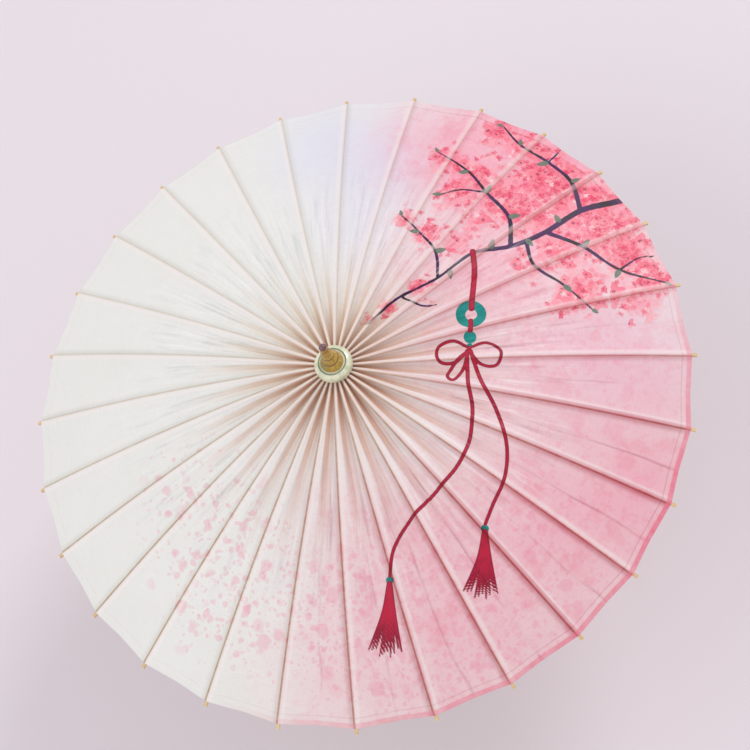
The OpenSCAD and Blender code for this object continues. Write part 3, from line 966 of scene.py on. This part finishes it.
def cane_material():
    """A scraped bamboo cane: long streaks, with a dark line and a pale band at each joint."""
    s = Shader("bamboo_cane")
    place = s.coordinates()
    gap = s.math("PINGPONG", s.math("ADD", s.split(place)[2], CANE_SHIFT), CANE_JOINTS / 2)
    wavy = s.linear(s.noise(place, 120), 0.0012, gap)
    streaks = s.grain((420, 420, 9), 4, 0.65)
    cloud = s.grain((60, 60, 18), 4, 0.6)
    s.shade = s.mix(s.step(streaks, 0.35, 0.65), "dcbd80", "c3995a")
    s.paint("a1733c", s.step(cloud, 0.55, 0.72), 0.5)
    s.paint("f0e2bd", s.step(wavy, 0.009, 0.003), 0.5)
    line = s.step(wavy, 0.0019, 0.001)
    s.paint("6d4a26", line, 0.85)
    normal = s.bump(streaks, 0.25, 0.0003, s.bump(line, 0.4, 0.0004))
    return s.finished(Roughness=s.linear(streaks, 0.25, 0.28), Normal=normal,
                      Coat_Weight=0.3, Coat_Roughness=0.2)


def turned_wood_material():
    """Bare turned wood: growth streaks along the axis and fine tool rings round it."""
    s = Shader("turned_wood")
    place = s.coordinates()
    streaks = s.grain((300, 300, 26), 4, 0.6)
    rings = s.noise(s.join(0, 0, s.split(place)[2]), 2600, 2, 0.6)
    cloud = s.noise(place, 70, 3, 0.6)
    s.shade = s.mix(s.step(streaks, 0.35, 0.65), "e2c698", "c9a46c")
    s.paint("b98f58", s.step(cloud, 0.45, 0.7), 0.4)
    s.paint("9c7442", s.step(rings, 0.45, 0.7), 0.18)
    return s.finished(Roughness=s.linear(streaks, 0.2, 0.5), Normal=s.bump(rings, 0.35, 0.0002))


def steel_material():
    """Drawn spring steel with long scratches and a few duller patches."""
    s = Shader("drawn_steel")
    scratches = s.grain((1800, 1800, 120), 3, 0.6)
    cloud = s.noise(s.coordinates(), 260, 3, 0.6)
    s.shade = s.mix(scratches, "b9b8b4", "8f8d88")
    s.paint("77685a", s.step(cloud, 0.55, 0.7), 0.5)
    return s.finished(Roughness=s.linear(cloud, 0.3, 0.2), Normal=s.bump(scratches, 0.2, 0.0001),
                      Metallic=1)


def paint_node(name, material):
    slots = nodes[name].data.materials
    slots.clear()
    slots.append(material)


def paint_ribs():
    """Split bamboo on the ribs that are CAD nodes. It returns the last: the short ribs' material."""
    bowed = np.polyfit(RADII / MM, rib_profile()[0] / MM, 2)
    straight = np.polyfit((PIVOT.x / MM, PIN.x / MM), (RUNNER_HEIGHT / MM, PIN.z / MM), 1)
    for kind, line in (("long", bowed), ("short", straight)):
        material = rib_material("split_bamboo_" + kind, line)
        for name in nodes:
            if name.startswith(kind + "_rib_"):
                paint_node(name, material)
    return material


def soften_edges(name):
    bevel = nodes[name].modifiers.new("soft_edges", "BEVEL")
    bevel.width = 0.2 * MM
    bevel.segments = 2
    bevel.limit_method = "ANGLE"
    bevel.angle_limit = math.radians(50)
    bevel.use_clamp_overlap = True


def paint_hub_wire(steel):
    """The hub's wire is part of the hub's node. It is a thin ring through the ribs' pivots."""
    hub = nodes["top_hub"].data
    hub.materials.append(steel)
    on_wire = []
    for vertex in hub.vertices:
        out = math.hypot(vertex.co.x, vertex.co.y) - PIVOT.x
        on_wire.append(math.hypot(out, vertex.co.z - PIVOT.z) < WIRE_REACH)
    for face in hub.polygons:
        face.material_index = int(all(on_wire[v] for v in face.vertices))


def make_runner_wire(steel):
    section = arc((PIVOT.x / MM, 0), WIRE_RADIUS / MM, 0, 360, 16)
    section[-1] = section[0]
    wire = lathe("runner_wire", section, RUNNER_HEIGHT, smooth_angle=80)
    add_piece(wire, steel, "runner", "spring_steel")


def make_spare_short_ribs(material):
    """The short ribs that the frame leaves out. Each is a copy of the first, turned round the pole."""
    for i, long_rib in enumerate(LONG_RIBS):
        name = long_rib.replace("long", "short")
        if name in nodes:
            continue
        turn = Matrix.Rotation(i * PITCH, 4, "Z")
        mesh = nodes["short_rib_01"].data.copy()
        mesh.transform(turn)
        mesh.materials.clear()
        made = link_object(name + "_spare", mesh)
        add_piece(made, material, long_rib, "rib_bamboo")
        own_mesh(made)


def finish_wood_and_steel():
    """Looks for the CAD nodes that stay, and the pieces that share their materials."""
    cane, wood, steel = cane_material(), turned_wood_material(), steel_material()
    short_bamboo = paint_ribs()
    paint_node("pole", cane)
    for name, material in (("top_hub", wood), ("runner", wood), ("catch", steel)):
        paint_node(name, material)
        soften_edges(name)
    paint_hub_wire(steel)
    make_runner_wire(steel)
    make_spare_short_ribs(short_bamboo)


def thread_material():
    s = Shader("cotton_thread")
    beat = s.linear(s.value("around"), 2, s.product(s.value("along"), 4.5))
    twist = s.math("SINE", beat)
    fuzz = s.noise(s.coordinates(), 900, 3, 0.6)
    s.shade = s.mix(s.linear(twist, 0.5, 0.5), "cfc3ad", "efe7d6")
    s.paint("b9a98c", fuzz, 0.4)
    return s.finished(Roughness=0.85, Normal=s.bump(twist, 0.6, 0.0002), Sheen_Weight=0.3)


def make_rim_thread():
    """The thread under the paper's edge, from rib to rib: one stretch for each rib."""
    material = thread_material()
    radius = PAPER_OUTER - THREAD_INSET
    height = np.interp(radius, RADII, rib_profile()[0]) - THREAD_DEPTH
    share = np.linspace(-1, 1, THREAD_RINGS)[:, None]
    spin = 2 * math.pi * np.arange(THREAD_SIDES) / THREAD_SIDES
    aside = radius * math.cos(HALF_PITCH) * math.sin(HALF_PITCH) * share + 0 * spin
    outward = radius * (1 - math.sin(HALF_PITCH) ** 2 * np.abs(share)) + THREAD_RADIUS * np.cos(spin)
    up = height + THREAD_RADIUS * np.sin(spin) + 0 * share
    points = np.stack([outward, aside, up], -1).reshape(-1, 3)
    index = np.arange(aside.size).reshape(aside.shape)
    after = np.roll(index, -1, axis=1)
    faces = np.stack([index[:-1], after[:-1], after[1:], index[1:]], -1).reshape(-1, 4)
    for i, rib_name in enumerate(LONG_RIBS):
        turn = np.array(Matrix.Rotation(i * PITCH, 3, "Z"))
        name = rib_name.replace("long_rib", "rim_thread")
        thread = new_object(name, points @ turn.T, faces, smooth_angle=80)
        add_values(thread, "along", aside / MM)
        add_values(thread, "around", spin + 0 * aside)
        add_piece(thread, material, rib_name, "oiled_paper")
        fold_sideways(thread)


# ---- Floor and light ----
LIGHT_TARGET = (0, 0, 0.4)


def make_floor():
    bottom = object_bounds()[0].z
    bpy.ops.mesh.primitive_plane_add(size=60, location=(0, 0, bottom - MM))
    floor = bpy.context.object
    floor.name = "floor"
    s = Shader("floor")
    s.shade = "e0d8dd"
    floor.data.materials.append(s.finished(Roughness=0.9))


def add_area_light(name, place, size, power):
    """A square light that points at the middle of the umbrella."""
    data = bpy.data.lights.new(name, "AREA")
    data.size = size
    data.energy = power
    light = link_object(name, data)
    light.location = place
    aim = Vector(LIGHT_TARGET) - Vector(place)
    light.rotation_euler = aim.to_track_quat("-Z", "Y").to_euler()


def make_lights():
    add_area_light("key", (3.4, 2, 4), 1.6, 98)
    add_area_light("fill", (-3.6, -0.8, 3.8), 4, 66)
    world = bpy.data.worlds.new("studio")
    world.use_nodes = True
    background = world.node_tree.nodes["Background"]
    background.inputs["Color"].default_value = colour("f4f2f6")
    background.inputs["Strength"].default_value = 0.8
    bpy.context.scene.world = world


place_camera()
make_paper()
make_collar()
make_spire()
make_handle()
finish_wood_and_steel()
make_rim_thread()
make_floor()
make_lights()
